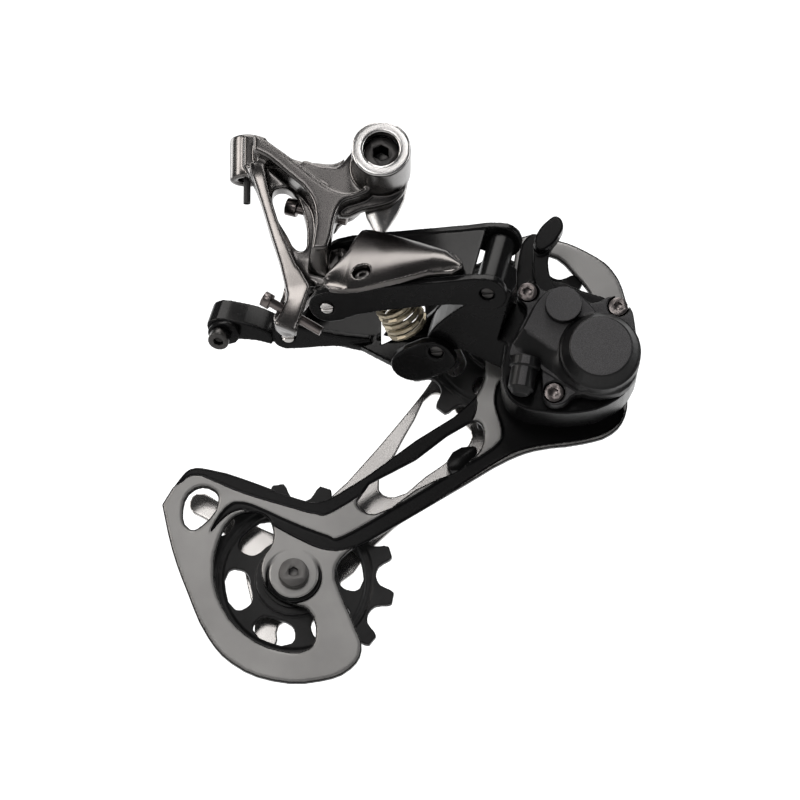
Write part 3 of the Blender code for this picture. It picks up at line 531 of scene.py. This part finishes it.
def crowned_cover():
    """The link cover with its face drawn out into a long crown."""
    cover = forged("outer_link_cover", 0.22, 5, 1.0)
    for vertex in cover.data.vertices:
        spot = vertex.co / MM - PIVOT_A
        x, y, z = spot.dot(LINK_DIR), spot.dot(PIN_DIR), spot.dot(OUTWARD)
        low, high = height_at(COVER_LOW, x), height_at(COVER_HIGH, x)
        across = share(y - low, max(1.0, high - low))
        rise = CROWN * (4 * across * (1 - across)) ** 0.8 * share(COVER_TIP - x, 9.0) ** 0.5
        vertex.co += OUTWARD * rise * share(z - COVER_FACE + 1.2) * MM
    soften(cover, 6)
    apply_modifiers(cover)


STRUT_EDGE = ((-50.2, -20.4), (-36.3, -20.2), (-32.0, -22.6), (-24.8, -26.4), (-10.8, -31.4),
              (-0.3, -33.6), (4.0, -33.8))     # the strut's crest as (z, x) points
STRUT_TOP, STRUT_LEFT = 3.0, -37.5
FRONT_HALF = -0.8                    # only what lies in front of this y moves
RIDGE_TOP, RIDGE_END, RIDGE_RIGHT = -26.5, -38.0, -12.0


def shaped_bracket():
    """The forged bracket: a strut that slopes away to the left, a ridge that runs out at its foot."""
    bracket = forged("bracket", 0.36, 9, 1.0, look=BRACKET_LOOK)
    for vertex in bracket.data.vertices:
        x, y, z = vertex.co / MM
        height = FRONT_HALF - y
        if height < 0:
            continue
        beyond = height_at(STRUT_EDGE, z) - x
        if beyond > 0 and z < STRUT_TOP and x > STRUT_LEFT:
            slope = 0.55 - 0.3 * share(-39.0 - z, 8.0)
            vertex.co.y += slope * beyond * share(height, 5.5) * share(STRUT_TOP - z, 6.0) * MM
        elif beyond < 0 and x < RIDGE_RIGHT and RIDGE_END < z < RIDGE_TOP:
            vertex.co.y += 0.75 * height * share(RIDGE_TOP - z, 5.0) * share(-beyond, 1.5) * MM
    soften(bracket, 12)
    apply_modifiers(bracket)


CAGE_AXIS = (62.1, -60.5)
DRUM_R = 11.6
SLOPE_START = (42.3, -54.7)          # a point on the line where the cover's neck starts to fall
SLOPE_FLOOR = -16.0                  # the neck's sides start at this y


def sloped_clutch_cover():
    """The clutch cover, whose raised neck falls away towards the adjuster plug."""
    cover = forged("clutch_cover", 0.28, 5)
    for vertex in cover.data.vertices:
        x, y, z = vertex.co / MM
        fall = -0.6 * (x - SLOPE_START[0]) - 0.8 * (z - SLOPE_START[1])
        beside = math.hypot(x - CAGE_AXIS[0], z - CAGE_AXIS[1]) - DRUM_R
        if fall > 0 and beside > 0 and y < SLOPE_FLOOR:
            drop = 0.55 * fall * share(beside, 2.0) * share(SLOPE_FLOOR - y, 1.5)
            vertex.co.y = min(y + drop, SLOPE_FLOOR + 0.1) * MM
    soften(cover, 4)
    apply_modifiers(cover)


RIM_STEPS = (20.9, 22.0)             # radii of the two grooves that make the step


def toothed_wheel(node, centre):
    """A pulley whose rim is stepped down beside the teeth."""
    low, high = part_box(node)
    step_y = (low[1] + high[1]) / 2 / MM - 1.45
    tools = [ring_tool(node + "_step" + str(i), (centre[0], step_y, centre[1]), radius, 0.75)
             for i, radius in enumerate(RIM_STEPS)]
    forged(node, 0.3, 3, 0.6, cuts=tools)


def main_bodies():
    shaped_bracket()
    toothed_wheel("tension_pulley", (-24.8, -119.0))
    toothed_wheel("guide_pulley", (34.9, -45.6))
    forged("outer_link", 0.30, 5)
    crowned_cover()
    forged("inner_link", 0.30, 14, 0.8)
    forged("knuckle_body", 0.36, 7)
    sloped_clutch_cover()
    forged("clutch_lever", 0.22, 4)
    forged("clutch_cap", 0.20, 4)
    forged("adjuster_plug", 0.20, 3)


BEVELS = {
    "stopper_plate": 0.35, "mounting_bolt": 0.25,
    "guide_pulley_bolt": 0.25, "tension_pulley_bolt": 0.25,
    "cable_clamp_plate": 0.25, "cable_clamp_bolt": 0.3,
    "b_tension_screw": 0.25, "foot_limit_screw": 0.25, "link_limit_screw": 0.2,
    "cover_screw_top": 0.25, "cover_screw_front": 0.25, "cover_screw_low": 0.25,
    "link_pin_a": 0.3, "link_pin_b": 0.3, "link_pin_c": 0.3, "link_pin_d": 0.3,
}
SMALL_LOOKS = {
    "cable_clamp_bolt": DARK_BOLT, "mounting_bolt": DARK_BOLT, "link_limit_screw": DARK_BOLT,
    "link_pin_b": DARK_BOLT, "link_pin_d": DARK_BOLT,
    "tension_pulley_bolt": GREY_BOLT, "guide_pulley_bolt": GREY_BOLT,
}


def small_pieces():
    for node, width in BEVELS.items():
        bevelled(node, width, SMALL_LOOKS.get(node))


def finish_remaining(shown):
    """Every CAD node that stays gets its finish in its own material slots."""
    for node, obj in NODES.items():
        if node in shown:
            continue
        look = FINISHES[SLOT_OF[node]]
        for place in obj.material_slots:
            place.material = look
        if not obj.material_slots:
            obj.data.materials.append(look)


make_camera()
studio()
cage_plates()
main_bodies()
small_pieces()
finish_remaining({obj.name.removesuffix("_skin") for obj in bpy.data.objects})
bpy.data.collections.remove(WORKSHOP)
